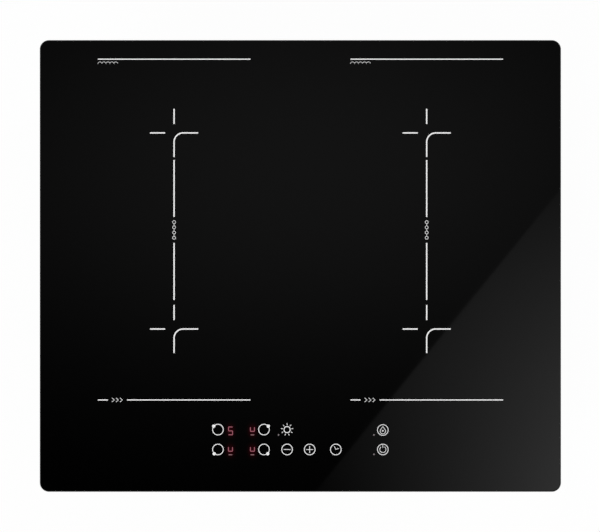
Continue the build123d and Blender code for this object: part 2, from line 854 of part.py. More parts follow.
def ring_choke(x, y):
    """Ring core choke lying on its board."""
    with BuildPart() as choke:
        with BuildSketch(Plane((x, y, board_top))):
            RegularPolygon(choke_r, choke_sides)
            RegularPolygon(choke_bore_r, choke_sides, mode=Mode.SUBTRACT)
        extrude(amount=choke_h)
        chamfer(choke.faces().sort_by(Axis.Z)[-1].outer_wire().edges(), choke_edge)
    return choke.part


for half, x in halves.items():
    save(circuit_board(x, board_y, board_w, board_d, board_z), f"power_board_{half}")
    save(heat_sink(sink_x[half]), f"heat_sink_{half}")
    save(power_transistors(sink_x[half]), f"power_transistors_{half}")
    save(film_capacitors(x), f"film_capacitors_{half}")
    save(ring_choke(x + choke_offset_x, board_y + choke_offset_y), f"power_choke_{half}")
save(circuit_board(filter_x, filter_y, filter_w, filter_d, board_z), "filter_board")
save(ring_choke(filter_x, filter_y), "filter_choke")

# Spacers clinched into the floor under the boards, with a stud that each board's hole fits over
with BuildPart() as board_spacers:
    with BuildSketch(Plane.XY.offset(floor_z)):
        with Locations(*spacers):
            RegularPolygon(spacer_r, sides)
    extrude(amount=board_lift)
    with BuildSketch(Plane.XY.offset(board_z)):
        with Locations(*spacers):
            RegularPolygon(screw_r, sides)
    extrude(amount=board_t)
save(board_spacers.part, "board_spacers")

# Moulded tray that holds the control board at the right distance under the glass
with BuildPart() as control_tray:
    tray_w = control_w + 2 * (control_gap + control_wall)
    tray_d = control_d + 2 * (control_gap + control_wall)
    with BuildSketch(Plane((0, control_y, plate_top))):
        Rectangle(tray_w, tray_d)
    extrude(amount=control_top - plate_top)
    with BuildSketch(Plane((0, control_y, control_z))):
        Rectangle(tray_w - 2 * control_wall, tray_d - 2 * control_wall)
    extrude(amount=board_t, mode=Mode.SUBTRACT)
    with BuildSketch(Plane((0, control_y, plate_top + control_floor))):
        Rectangle(control_w - 2 * control_lip, control_d - 2 * control_lip)
    extrude(amount=control_z - plate_top, mode=Mode.SUBTRACT)
save(control_tray.part, "control_tray")

with BuildPart() as control_board:
    with BuildSketch(Plane((0, control_y, control_z))):
        Rectangle(control_w, control_d)
    extrude(amount=board_t)
save(control_board.part, "control_board")

# Conductive foam pads that carry each touch key up to the glass
with BuildPart() as touch_pads:
    with BuildSketch(Plane.XY.offset(control_top)):
        with Locations(*keys):
            RegularPolygon(pad_r, small_sides)
    extrude(amount=pad_h)
save(touch_pads.part, "touch_pads")

# Seven-segment displays and lamps, just clear of the glass
with BuildPart() as digit_displays:
    with BuildSketch(Plane.XY.offset(control_top)):
        with Locations(*digits):
            Rectangle(digit_w, digit_d)
    extrude(amount=pad_h - digit_gap)
save(digit_displays.part, "digit_displays")

with BuildPart() as indicator_lamps:
    with BuildSketch(Plane.XY.offset(control_top)):
        with Locations(*lamps):
            RegularPolygon(lamp_r, small_sides)
    extrude(amount=pad_h - lamp_gap)
save(indicator_lamps.part, "indicator_lamps")

# Terminal box in the case pocket, with the cable inlet behind and hinge pins at the front
with BuildPart() as terminal_box:
    with BuildSketch(Plane((pocket_x, box_y, box_z))):
        Rectangle(box_w, box_d)
    extrude(amount=pocket_top - box_z)
    with BuildSketch(Plane((pocket_x, chamber_y, box_z))):
        Rectangle(box_w - 2 * box_wall, chamber_d)
    extrude(amount=pocket_top - box_z - box_wall, mode=Mode.SUBTRACT)
    with BuildSketch(Plane.XZ.offset(-case_d / 2)):
        with Locations((pocket_x, inlet_z)):
            Circle(inlet_r)
    extrude(amount=box_rear_wall, mode=Mode.SUBTRACT)
    for side in (-1, 1):
        with BuildSketch(Plane.YZ.offset(pocket_x + side * (box_w / 2 - box_wall))):
            with Locations((hinge_y, hinge_z)):
                RegularPolygon(hinge_pin_r, hinge_sides)
        extrude(amount=-side * hinge_length)
    add(pegs(upright(box_screws, pocket_top), hole_r, box_wall), mode=Mode.SUBTRACT)
save(terminal_box.part, "terminal_box")
box_seats = upright(box_screws, pocket_top - box_wall, up=False)
save(screws(box_seats, box_wall + sheet_t + screw_tip), "terminal_screws")

# Terminal block with walls between its poles and a wire bore in each
with BuildPart() as terminal_block:
    with BuildSketch(Plane((pocket_x, block_y, block_z))):
        Rectangle(block_w, block_d)
    extrude(amount=block_h)
    pole_pitch = block_w / block_poles
    with BuildSketch(Plane((pocket_x, block_y, block_z))):
        with GridLocations(pole_pitch, 1, block_poles, 1):
            Rectangle(pole_pitch - block_slot_w, block_d - 2 * block_slot_w)
    extrude(amount=block_slot_h, mode=Mode.SUBTRACT)
    with BuildSketch(Plane.XZ.offset(-block_y - block_d / 2)):
        with Locations((pocket_x, block_z + (block_h + block_slot_h) / 2)):
            with GridLocations(pole_pitch, 1, block_poles, 1):
                RegularPolygon(block_bore_r, sides)
    extrude(amount=block_d, mode=Mode.SUBTRACT)
save(terminal_block.part, "terminal_block")

# Lid with a tongue that swings up into the box, two knuckles on the pins and a catch at the free end
with BuildPart() as terminal_lid:
    with BuildSketch(Plane((pocket_x, hinge_y, lid_z))):
        Rectangle(tongue_w, 2 * hinge_r)
        with Locations((0, hinge_r)):
            Rectangle(lid_w, lid_rear - hinge_y - hinge_r, align=(Align.CENTER, Align.MIN))
    extrude(amount=lid_t)
    for side in (-1, 1):
        knuckle_x = pocket_x + side * (box_w / 2 - box_wall - lid_gap)
        with BuildSketch(Plane.YZ.offset(knuckle_x)):
            with Locations((hinge_y, hinge_z)):
                RegularPolygon(hinge_r, hinge_sides)
            with Locations((hinge_y, (hinge_z + lid_z + lid_t) / 2)):
                Rectangle(2 * hinge_r, hinge_z - lid_z - lid_t)
            with Locations((hinge_y, hinge_z)):
                bore_r = hinge_pin_r + hinge_pin_gap
                RegularPolygon(bore_r, hinge_sides, major_radius=False, mode=Mode.SUBTRACT)
        extrude(amount=-side * (hinge_length - 2 * lid_gap))
    with BuildSketch(Plane.XY.offset(lid_z + lid_t)):
        with Locations((pocket_x, catch_y)):
            Rectangle(lid_catch_w, lid_catch_t)
    extrude(amount=lid_catch_h)
save(terminal_lid.part, "terminal_lid")


def worktop_clamp(sign, y):
    """Angle bracket with an upright slot, whose foot presses up under the worktop."""
    wall = sign * case_w / 2
    with BuildPart() as clamp:
        with BuildSketch(Plane.XZ.offset(-y)):
            with BuildLine():
                Polyline(
                    (wall, clamp_foot_z),
                    (wall, clamp_z),
                    (wall + sign * clamp_reach, clamp_z),
                    (wall + sign * clamp_reach, clamp_z - clamp_t),
                    (wall + sign * clamp_t, clamp_z - clamp_t),
                    (wall + sign * clamp_t, clamp_foot_z),
                    close=True,
                )
            make_face()
        extrude(amount=clamp_w / 2, both=True)
        outer_bend = clamp.edges().filter_by(Axis.Y).filter_by_position(Axis.Z, clamp_z, clamp_z)
        fillet(outer_bend.sort_by(Axis.X)[0 if sign > 0 else -1], clamp_bend_r)
        with BuildSketch(Plane((wall, y, clamp_screw_z), x_dir=(0, 1, 0), z_dir=(sign, 0, 0))) as slot:
            with Locations((0, sign * clamp_travel / 2)):
                Rectangle(clamp_slot_w, clamp_slot_l)
            chamfer(slot.vertices(), slot_corner)
        extrude(amount=clamp_t, mode=Mode.SUBTRACT)
    return clamp.part


for name, (sign, y) in clamps.items():
    save(worktop_clamp(sign, y), f"worktop_clamp_{name}")
clamp_heads_at = [plane.offset(clamp_t) for plane in clamp_screws_at]
save(screws(clamp_heads_at, clamp_screw_length), "clamp_screws")
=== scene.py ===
"""Looks of a built-in induction hob: black glass with printed zones and touch keys over a steel case.

X to the right, Y to the back, Z up, with the origin in the middle of the cooking surface. Sizes are in
millimetres, as in the solids, except where a comment says metres.
"""

import json
import math

import bpy
import numpy as np
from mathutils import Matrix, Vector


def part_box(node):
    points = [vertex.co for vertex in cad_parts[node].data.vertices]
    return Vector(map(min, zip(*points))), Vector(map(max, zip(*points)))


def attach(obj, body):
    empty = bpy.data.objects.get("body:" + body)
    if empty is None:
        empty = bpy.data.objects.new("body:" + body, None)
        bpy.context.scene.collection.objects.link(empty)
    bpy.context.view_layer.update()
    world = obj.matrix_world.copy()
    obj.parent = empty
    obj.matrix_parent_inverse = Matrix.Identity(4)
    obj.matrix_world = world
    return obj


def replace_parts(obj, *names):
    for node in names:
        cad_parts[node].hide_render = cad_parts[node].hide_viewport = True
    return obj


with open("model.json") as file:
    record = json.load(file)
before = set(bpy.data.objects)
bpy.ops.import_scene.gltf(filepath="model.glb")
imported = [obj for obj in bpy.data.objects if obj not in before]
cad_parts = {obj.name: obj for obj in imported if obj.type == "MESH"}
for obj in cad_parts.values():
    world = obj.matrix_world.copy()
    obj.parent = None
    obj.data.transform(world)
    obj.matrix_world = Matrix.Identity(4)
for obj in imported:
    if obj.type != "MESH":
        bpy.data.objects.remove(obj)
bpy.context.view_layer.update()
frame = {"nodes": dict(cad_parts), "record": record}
nodes = frame["nodes"]
MM = 0.001

# Glass, and the thickness of the print on it
glass_w = 600.0
glass_d = 520.0
glass_t = 4.0
glass_corner = 10.5
corner_steps = 16
print_t = 0.03

# Zone marks: bars at the rear and front, two crosses and a long line between them
zone_x = 145.4
cross_y = (153.15, -72.55)
line_rear_y = 238.05
line_front_y = -154.25
line_left = -87.7
line_right = 87.9
word_left = -76.2
word_right = -54.2
line_width = 1.18
mark_width = 1.49
mark_reach = 27.7
mark_gap = 10.3
mark_bend = 10.4
long_gap_rear = 56.4
long_gap_front = 26.5
long_from_rear = 31.2
long_from_front = 33.4

# Small signs in the gaps of the zone marks
hump_r = 2.3
hump_count = 5
hump_drop = 5.4
hump_stroke = 0.55
chevron = ((-1.6, 2.3), (1.2, 0.0), (-1.6, -2.3))
chevron_pitch = 4.6
chevron_stroke = 0.9
chain_r = 1.7
chain_pitch = 6.0
chain_link = 0.9
chain_stroke = 0.7

# Touch keys: rows, columns and symbols
rear_row = -188.35
front_row = -211.25
col_left = -94.9
col_digit_left = -80.5
col_digit_right = -55.2
col_right = -41.9
col_minus = -15.3
col_plus = 10.7
col_clock = 40.8
col_power = 94.9
key_r = 6.15
key_stroke = 0.83
thin_stroke = 0.67
dot_r = 1.85
dot_sink = 0.006
dot_rear = (4.9, 4.0)
dot_front = (4.3, -4.9)
sun_r = 3.55
sun_stroke = 0.94
sun_rays = 9
sun_turn = 30.0
ray_from = 5.05
ray_to = 7.1
bar_half = 4.0
plus_gap = 0.4
clock_hands = ((-1.75, 3.7), (0.0, 0.0), (3.3, 1.35))
lock_shift = 0.5
drop_r = 3.1
drop_low = 1.3
drop_tip = 3.7
drop_tip_half = 0.35
drop_eye = 0.9
drop_eye_r = 1.0
power_r = 3.55
power_from = 1.9
power_to = 5.5

# Lit figures, the painted glow round them on the glass, and lamp dots
digit_w = 5.52
digit_h = 9.9
digit_stroke = 0.9
bar_trim = 0.5
post_trim = 0.2
taper_from = 0.75
taper_to = 0.35
five_shift = (0.1, -1.5)
pan_rise = 0.45
pan_tall = 0.4
pan_floor = 2.0
pan_bar_drop = 6.1
pan_bar_trim = 0.6
halo_drop = 1.3
halo_across = 3.9
halo_along = 5.8
lamp_left = -25.2
lamp_right = 84.7
lamp_drop_rear = 6.1
lamp_drop_front = 5.6
lamp_r = 0.95

# Case, clamps and blowers: the seats of the screws
case_half_w = 278.0
case_half_d = 243.0
panel_under = -53.5
case_screw_x = 190.0
case_screw_y = 160.0
case_screw_z = -12.0
case_screw_length = 5.5
clamp_face = 279.5
clamp_y = 150.0
clamp_screw_z = -49.7
clamp_screw_length = 8.0
pillar_points = ((52.0, 222.2), (262.8, 125.2), (262.8, -164.2))
blower_x = (-180.2, 130.2)
blower_y = 176.2
lug_reach = 51.0
lug_angles = (20.0, 110.0, 300.0)
base_screw_length = 5.8

# Coils of stranded wire
coil_y = {"rear": 153.3, "front": -72.6}
coil_inner_r = 15.0
coil_outer_r = 74.5
wire_pitch = 2.06
turn_steps = 56
wire_sides = 14
strands = 7
strand_turns = 26
strand_depth = 0.05

# Terminal box: relief under the lid, and the cable inlet in the rear wall
terminal_x = 232.0
lid_y = 202.0
lid_face = -55.2
relief_t = 0.55
border_w = 62.0
border_d = 64.0
border_corner = 5.0
border_stroke = 1.2
rib_count = 4
rib_half = 10.0
rib_shift = 27.0
rib_pitch = 2.6
rib_stroke = 1.1
inlet_z = -40.0

# Camera, in metres apart from its lens and sensor
camera_height = 3.837
camera_lens = 200.0
camera_sensor = 36.0
camera_x = -0.00044
camera_y = -0.00005

# Reflector cards in metres; the glow and the window's edge are given where the camera sees them in the glass
glass_mirror = 0.04
card_height = 6.0
card_half = 2.5
glow_middle = (0.019, 0.124)
glow_spread = (0.453, 0.262)
glow_peak = 0.0068
glow_dark = 0.0006
window_height = 5.98
window_edge = (0.2963, 0.084)
window_run = (0.6298, 0.7768)
window_rear = 0.9
window_front = 2.2
window_depth = 2.0
window_value = 14.8
window_slope = (0.0351, 0.0181)
window_bend = (3.2e-5, 3.87e-4, 1.0e-4)
window_dark = 0.01

# Stage: drop of the floor below the case, its half width in metres, and the tones of floor and sky
floor_drop = 120.0
floor_half = 9.0
floor_white = 0.965
sky_light = 0.7
ceiling_rise = 0.22
ceiling_dark = 0.78


class Val:
    """A shader socket with arithmetic: each operator adds one Math node to its finish."""

    def __init__(self, finish, socket):
        self.finish = finish
        self.socket = socket

    def calc(self, operation, a, b=0.0):
        """One Math node on one or two values."""
        return self.finish.node("ShaderNodeMath", {"operation": operation}, {0: a, 1: b})

    def __add__(self, other):
        return self.calc("ADD", self, other)

    def __radd__(self, other):
        return self.calc("ADD", other, self)

    def __sub__(self, other):
        return self.calc("SUBTRACT", self, other)

    def __rsub__(self, other):
        return self.calc("SUBTRACT", other, self)

    def __mul__(self, other):
        return self.calc("MULTIPLY", self, other)

    def __rmul__(self, other):
        return self.calc("MULTIPLY", other, self)

    def __truediv__(self, other):
        return self.calc("DIVIDE", self, other)

    def __pow__(self, other):
        return self.calc("POWER", self, other)

    def __rpow__(self, other):
        return self.calc("POWER", other, self)

    def __abs__(self):
        return self.calc("ABSOLUTE", self)

    def __gt__(self, other):
        return self.calc("GREATER_THAN", self, other)

    def top(self, other):
        """The larger of two values."""
        return self.calc("MAXIMUM", self, other)


class Finish:
    """One procedural material around a Principled shader, or the world's shader tree."""

    def __init__(self, name, constants=None, tree=None):
        if tree is None:
            self.material = bpy.data.materials.new(name)
            self.material.use_nodes = True
            tree = self.material.node_tree
            self.shader = tree.nodes["Principled BSDF"]
            for socket, value in (constants or {}).items():
                self.shader.inputs[socket].default_value = value
        self.tree = tree

    def node(self, kind, settings=None, inputs=None, out=0):
        """Adds a node: its settings first, then the values or links of its sockets."""
        made = self.tree.nodes.new(kind)
        for key, value in (settings or {}).items():
            setattr(made, key, value)
        for key, value in (inputs or {}).items():
            self.feed(made.inputs[key], value)
        return Val(self, made.outputs[out])

    def feed(self, socket, value):
        """Links a socket, or gives it a constant."""
        if isinstance(value, Val):
            self.tree.links.new(value.socket, socket)
        else:
            socket.default_value = value

    def set(self, socket, value):
        """Feeds one socket of the Principled shader."""
        self.feed(self.shader.inputs[socket], value)

    def place(self, scale=(1, 1, 1), turn=(0, 0, 0)):
        """Object coordinates, stretched and turned."""
        coords = self.node("ShaderNodeTexCoord", out="Object")
        return self.node("ShaderNodeMapping", None, {"Vector": coords, "Scale": scale, "Rotation": turn})

    def noise(self, scale, detail=3.0, stretch=(1, 1, 1), turn=(0, 0, 0)):
        """Cloudy noise about one half, with its scale per metre."""
        where = self.place(stretch, turn)
        return self.node("ShaderNodeTexNoise", None, {"Vector": where, "Scale": scale, "Detail": detail})

    def cells(self, scale, out="Distance", stretch=(1, 1, 1)):
        """Cells round scattered points: the distance to the nearest point, or a tone for each cell."""
        where = self.place(stretch)
        return self.node("ShaderNodeTexVoronoi", None, {"Vector": where, "Scale": scale}, out)

    def axes(self):
        """Object coordinates as three values."""
        coords = self.node("ShaderNodeTexCoord", out="Object")
        split = self.node("ShaderNodeSeparateXYZ", None, {0: coords})
        sockets = split.socket.node.outputs
        return [Val(self, sockets[axis]) for axis in ("X", "Y", "Z")]

    def mix(self, factor, a, b):
        """A colour between two colours."""
        a, b = [c if isinstance(c, Val) else (*c, 1.0) for c in (a, b)]
        return self.node("ShaderNodeMix", {"data_type": "RGBA"}, {0: factor, 6: a, 7: b}, 2)

    def blend(self, factor, a, b):
        """A shader between two shaders."""
        return self.node("ShaderNodeMixShader", None, {0: factor, 1: a, 2: b})

    def bump(self, height, distance, strength=1.0):
        """Fine relief: a height value times a distance in metres."""
        sockets = {"Height": height, "Distance": distance, "Strength": strength}
        self.set("Normal", self.node("ShaderNodeBump", None, sockets))

    def surface(self, shader, end="Material Output"):
        """Ends the tree with a shader of its own."""
        self.feed(self.tree.nodes[end].inputs["Surface"], shader)


def shade(colour, factor):
    """A colour made lighter or darker by one factor."""
    return tuple(min(1.0, c * factor) for c in colour)


def moulded(name, colour, rough=0.5, grain=900.0, depth=0.00004):
    """Moulded plastic: soft mottling, uneven gloss and a fine eroded grain."""
    finish = Finish(name)
    cloud = finish.noise(35.0)
    finish.set("Base Color", finish.mix(cloud, shade(colour, 0.82), shade(colour, 1.18)))
    pits = finish.noise(grain, 2.0)
    finish.set("Roughness", rough - 0.08 + 0.1 * cloud + 0.08 * pits)
    finish.bump(pits, depth)
    return finish


def rolled(name, colour, rough=0.3, along=(1.0, 40.0, 40.0), scale=60.0):
    """Rolled or drawn metal: streaks along one direction over a cloudy tone."""
    finish = Finish(name, {"Metallic": 1.0})
    streak = finish.noise(scale, 4.0, along)
    cloud = finish.noise(18.0)
    finish.set("Base Color", finish.mix(0.5 * streak + 0.5 * cloud, shade(colour, 0.8), shade(colour, 1.1)))
    finish.set("Roughness", rough - 0.1 + 0.22 * streak + 0.06 * cloud)
    finish.bump(streak, 0.00002, 0.5)
    return finish


def spangled_zinc():
    """Hot dip galvanised sheet: crystal spangles that differ in tone and gloss, with rolling lines."""
    finish = Finish("spangled_zinc", {"Metallic": 1.0})
    crystal = finish.cells(120.0, "Color")
    feather = finish.noise(420.0, 4.0, (1.0, 0.35, 0.35))
    blend = 0.5 * crystal + 0.5 * feather
    finish.set("Base Color", finish.mix(blend, (0.27, 0.285, 0.3), (0.62, 0.63, 0.64)))
    finish.set("Roughness", 0.3 + 0.2 * crystal + 0.1 * feather)
    finish.bump(feather, 0.00002, 0.4)
    return finish


def circuit_mask():
    """Solder mask over copper: tracks both ways show as paler green, with bare metal pads."""
    finish = Finish("circuit_mask")
    track = finish.cells(130.0, "Distance", (1.0, 0.12, 1.0)) > 0.42
    cross = finish.cells(120.0, "Distance", (0.12, 1.0, 1.0)) > 0.45
    pad = 1.0 - (finish.cells(260.0) > 0.16)
    lit = finish.mix(track.top(cross), (0.012, 0.09, 0.04), (0.03, 0.2, 0.075))
    finish.set("Base Color", finish.mix(pad, lit, (0.62, 0.6, 0.55)))
    finish.set("Metallic", 0.8 * pad)
    finish.set("Roughness", 0.42 - 0.1 * pad)
    finish.bump(track.top(cross) + pad, 0.00005, 0.6)
    return finish


def foam(name, colour):
    """Closed-cell foam: small open pores in a dull skin, with painted shade in the pores."""
    finish = Finish(name)
    pores = finish.cells(900.0)
    cloud = finish.noise(60.0)
    # The colour darkens towards each pore's middle, where the bump sinks: painted shade in the pores, over a
    # random cloudy tone
    finish.set("Base Color", finish.mix(0.6 * pores + 0.4 * cloud, shade(colour, 0.55), shade(colour, 1.35)))
    finish.set("Roughness", 0.82 + 0.14 * pores)
    finish.bump(pores, 0.00025, 0.9)
    return finish


def flaked_mica():
    """Pressed mica sheet: pale overlapping flakes with a pearly gloss."""
    finish = Finish("flaked_mica")
    flake = finish.cells(160.0, "Color", (1.0, 1.0, 0.1))
    cloud = finish.noise(30.0)
    finish.set("Base Color", finish.mix(0.6 * flake + 0.4 * cloud, (0.5, 0.43, 0.31), (0.8, 0.76, 0.66)))
    finish.set("Roughness", 0.25 + 0.3 * flake)
    finish.bump(flake, 0.00004, 0.5)
    return finish


def ceramic_grit(name, colour, rough):
    """Sintered ceramic: speckled grain with small chips."""
    finish = Finish(name)
    grit = finish.noise(1100.0, 4.0)
    chips = finish.cells(420.0)
    finish.set("Base Color", finish.mix(grit, shade(colour, 0.7), shade(colour, 1.3)))
    finish.set("Roughness", rough + 0.15 * grit)
    finish.bump(grit + 0.5 * chips, 0.00006, 0.6)
    return finish


def black_glass():
    """Black glass ceramic: mirror gloss with faint wipe marks, and a painted glow round the digits.

    The painted glow is red emission on the glass itself and falls off as a bell curve of the distance to the
    nearest of the four digits.
    """
    finish = Finish("black_glass", {"IOR": 1.5, "Emission Strength": 1.0})
    haze = finish.noise(7.0, 4.0, (1.0, 2.6, 1.0), (0, 0, 0.6))
    speck = finish.noise(900.0, 2.0)
    finish.set("Base Color", finish.mix(speck, (0.0002, 0.0002, 0.0002), (0.0005, 0.0005, 0.0005)))
    finish.set("Roughness", 0.012 + 0.012 * haze)
    x, y, _ = finish.axes()
    middle_x = (col_digit_left + col_digit_right) / 2 * MM
    middle_y = ((rear_row + front_row) / 2 - halo_drop) * MM
    across = abs(x - middle_x) - (col_digit_right - col_digit_left) / 2 * MM
    along = abs(y - middle_y) - (rear_row - front_row) / 2 * MM
    spread = across * across / (halo_across * MM) ** 2 + along * along / (halo_along * MM) ** 2
    # Painted glow: red emission on the glass round the lit digits, standing in for their light spreading in
    # it
    painted_glow = math.e ** (0.0 - spread)
    finish.set("Emission Color", finish.mix(painted_glow, (0.0, 0.0, 0.0), (0.02, 0.0002, 0.002)))
    return finish


def ground_edge():
    """Ground glass edge: dull black with the grain of the wheel."""
    finish = Finish("ground_edge", {"Specular IOR Level": 0.18})
    grain = finish.noise(1500.0, 3.0)
    finish.set("Base Color", finish.mix(grain, (0.0006, 0.0006, 0.0007), (0.003, 0.003, 0.0032)))
    finish.set("Roughness", 0.42 + 0.2 * grain)
    finish.bump(grain, 0.00002, 0.5)
    return finish


def printed_frit(name, colour):
    """Fired print: an even pale coat with a faint speckle from the screen."""
    finish = Finish(name)
    speck = finish.noise(2600.0, 2.0)
    finish.set("Base Color", finish.mix(speck, shade(colour, 0.94), colour))
    finish.set("Roughness", 0.38 + 0.2 * speck)
    finish.bump(speck, 0.000008, 0.5)
    return finish


def lit_segment(name, colour, core):
    """Light bar behind tinted glass: its light varies a little with a fine grain."""
    tinted = {"Base Color": (0.02, 0.002, 0.003, 1.0), "Roughness": 0.3, "Emission Strength": 1.0}
    finish = Finish(name, tinted)
    grain = finish.noise(700.0, 2.0)
    finish.set("Emission Color", finish.mix(grain, colour, core))
    return finish


finishes = {
    "black_glass": black_glass(),
    "foam_seal": foam("foam_seal", (0.026, 0.026, 0.028)),
    "silicone": moulded("silicone", (0.02, 0.02, 0.021), 0.42, 300.0),
    "galvanised_steel": spangled_zinc(),
    "zinc_screws": rolled("zinc_screws", (0.62, 0.61, 0.57), 0.3, (1.0, 1.0, 1.0), 500.0),
    "bright_steel": rolled("bright_steel", (0.66, 0.67, 0.68), 0.26, (30.0, 1.0, 30.0)),
    "mill_aluminium": rolled("mill_aluminium", (0.76, 0.77, 0.78), 0.32, (40.0, 1.0, 40.0)),
    "pillar_metal": rolled("pillar_metal", (0.72, 0.6, 0.36), 0.28, (40.0, 40.0, 1.0)),
    "former_plastic": moulded("former_plastic", (0.05, 0.05, 0.054)),
    "copper_wire": rolled("copper_wire", (0.68, 0.3, 0.14), 0.3, (1.0, 1.0, 6.0), 300.0),
    "ferrite": ceramic_grit("ferrite", (0.06, 0.06, 0.066), 0.55),
    "mica": flaked_mica(),
    "blower_plastic": moulded("blower_plastic", (0.035, 0.035, 0.038), 0.46),
    "motor_metal": rolled("motor_metal", (0.3, 0.3, 0.32), 0.4, (30.0, 30.0, 1.0)),
    "board_laminate": circuit_mask(),
    "chip_resin": moulded("chip_resin", (0.018, 0.018, 0.019), 0.55, 1400.0),
    "capacitor_shell": moulded("capacitor_shell", (0.62, 0.46, 0.07), 0.3, 500.0),
    "tray_plastic": moulded("tray_plastic", (0.07, 0.07, 0.075)),
    "touch_foam": foam("touch_foam", (0.04, 0.04, 0.042)),
    "display_resin": moulded("display_resin", (0.3, 0.03, 0.04), 0.22, 400.0),
    "terminal_plastic": moulded("terminal_plastic", (0.045, 0.045, 0.048), 0.48),
    "block_plastic": moulded("block_plastic", (0.72, 0.71, 0.66), 0.45),
}
edge_finish = ground_edge()
white_print = printed_frit("white_print", (0.92, 0.92, 0.92))
grey_print = printed_frit("grey_print", (0.66, 0.66, 0.66))
red_light = lit_segment("red_light", (0.3, 0.084, 0.115), (0.37, 0.12, 0.155))
dim_light = lit_segment("dim_light", (0.23, 0.119, 0.136), (0.28, 0.17, 0.176))
lamp_dot = printed_frit("lamp_dot", (0.2, 0.17, 0.18))

# Every solid takes the finish of its slot
for entry in frame["record"]["subparts"]:
    materials = nodes[entry["node"]].data.materials
    materials.clear()
    materials.append(finishes[entry["material_slot"]].material)


class Surface:
    """Points and faces of one piece, gathered from several computed grids, in millimetres."""

    def __init__(self):
        self.points = []
        self.quads = []
        self.caps = []
        self.count = 0

    def grid(self, points, wrap_rows=False):
        """Joins a grid of rings: the columns always close, the rows close on themselves or get end caps."""
        rows, cols, _ = points.shape
        r = np.arange(rows if wrap_rows else rows - 1)[:, None]
        c = np.arange(cols)[None, :]
        r2 = (r + 1) % rows
        c2 = (c + 1) % cols
        quads = np.stack([r * cols + c, r2 * cols + c, r2 * cols + c2, r * cols + c2], axis=-1)
        self.quads.append(quads.reshape(-1, 4) + self.count)
        if not wrap_rows:
            first = np.arange(cols) + self.count
            self.caps += [first.tolist(), (first + (rows - 1) * cols)[::-1].tolist()]
        self.points.append(points.reshape(-1, 3))
        self.count += rows * cols

    def stroke(self, path, width, closed=False, high=0.0, thick=print_t):
        """A flat bar carried along a path: half its width to each side of the line, down from a height."""
        path = np.asarray(path, float)
        if closed:
            run = np.roll(path, -1, 0) - np.roll(path, 1, 0)
        else:
            run = np.gradient(path, axis=0)
        run /= np.linalg.norm(run, axis=1)[:, None]
        side = np.stack([-run[:, 1], run[:, 0]], axis=1) * np.asarray(width).reshape(-1, 1) / 2
        across = np.stack([path - side, path + side, path + side, path - side], axis=1)
        level = np.broadcast_to(np.array([high, high, high - thick, high - thick]), across.shape[:2])
        self.grid(np.concatenate([across, level[..., None]], axis=2), closed)

    def disc(self, x, y, radius, high=0.0, steps=24):
        """A round dot of print thickness: one circle at the top and one below it."""
        outline = np.broadcast_to(ring(x, y, radius, steps), (2, steps, 2))
        level = np.ones((2, steps, 1)) * np.array([high, high - print_t]).reshape(2, 1, 1)
        self.grid(np.concatenate([outline, level], axis=2))

    def build(self, name, finish, slot, body="hob", smooth=False):
        """Makes the piece, in metres, with its finish, on the body that carries it; the slot is not used."""
        mesh = bpy.data.meshes.new(name)
        faces = np.concatenate(self.quads).tolist() + self.caps
        mesh.from_pydata((np.concatenate(self.points) * MM).tolist(), [], faces)
        mesh.materials.append(finish.material)
        mesh.polygons.foreach_set("use_smooth", [smooth] * len(mesh.polygons))
        mesh.update()
        made = bpy.data.objects.new(name, mesh)
        bpy.context.collection.objects.link(made)
        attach(made, body)
        return made


def arc(x, y, radius, start, end, steps=24):
    """Points on a circle from one angle to another, in degrees."""
    turn = np.radians(np.linspace(start, end, steps))
    return np.stack([x + radius * np.cos(turn), y + radius * np.sin(turn)], axis=1)


def ring(x, y, radius, steps=48):
    """Points once round a circle, without the last one."""
    return arc(x, y, radius, 0.0, 360.0, steps + 1)[:-1]


def rounded_outline(w, d, corner, inset):
    """Outline of a rounded rectangle, drawn in by an inset: four quarter circles about fixed centres."""
    quarter = np.radians(np.linspace(0.0, 90.0, corner_steps))
    turn = (quarter[None, :] + np.radians([[0.0], [90.0], [180.0], [270.0]])).ravel()
    middle_x = np.repeat(np.array([1, -1, -1, 1]) * (w / 2 - corner), corner_steps)
    middle_y = np.repeat(np.array([1, 1, -1, -1]) * (d / 2 - corner), corner_steps)
    reach = corner - inset
    return np.stack([middle_x + reach * np.cos(turn), middle_y + reach * np.sin(turn)], axis=1)


def slab(w, d, corner, profile):
    """A slab whose edge profile, of insets and heights, is carried round a rounded outline."""
    rings = []
    for inset, high in profile:
        outline = rounded_outline(w, d, corner, inset)
        rings.append(np.column_stack([outline, np.full(len(outline), high)]))
    made = Surface()
    made.grid(np.stack(rings))
    return made


# Glass top: mirror face, ground bevel above and a small one below
glass_profile = [
    (1.25, -print_t),
    (1.0, -0.07),
    (0.8, -0.2),
    (0.2, -0.8),
    (0.06, -0.98),
    (0.0, -1.2),
    (0.0, -3.5),
    (0.06, -3.66),
    (0.4, -glass_t),
]
plate = slab(glass_w, glass_d, glass_corner, glass_profile)
glass = plate.build("glass_plate", finishes["black_glass"], "black_glass")
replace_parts(glass, "glass_top")
glass.data.materials.append(edge_finish.material)
heights = np.array([face.normal.z for face in glass.data.polygons])
glass.data.polygons.foreach_set("material_index", (heights < 0.97).astype(int))
glass.data.update()


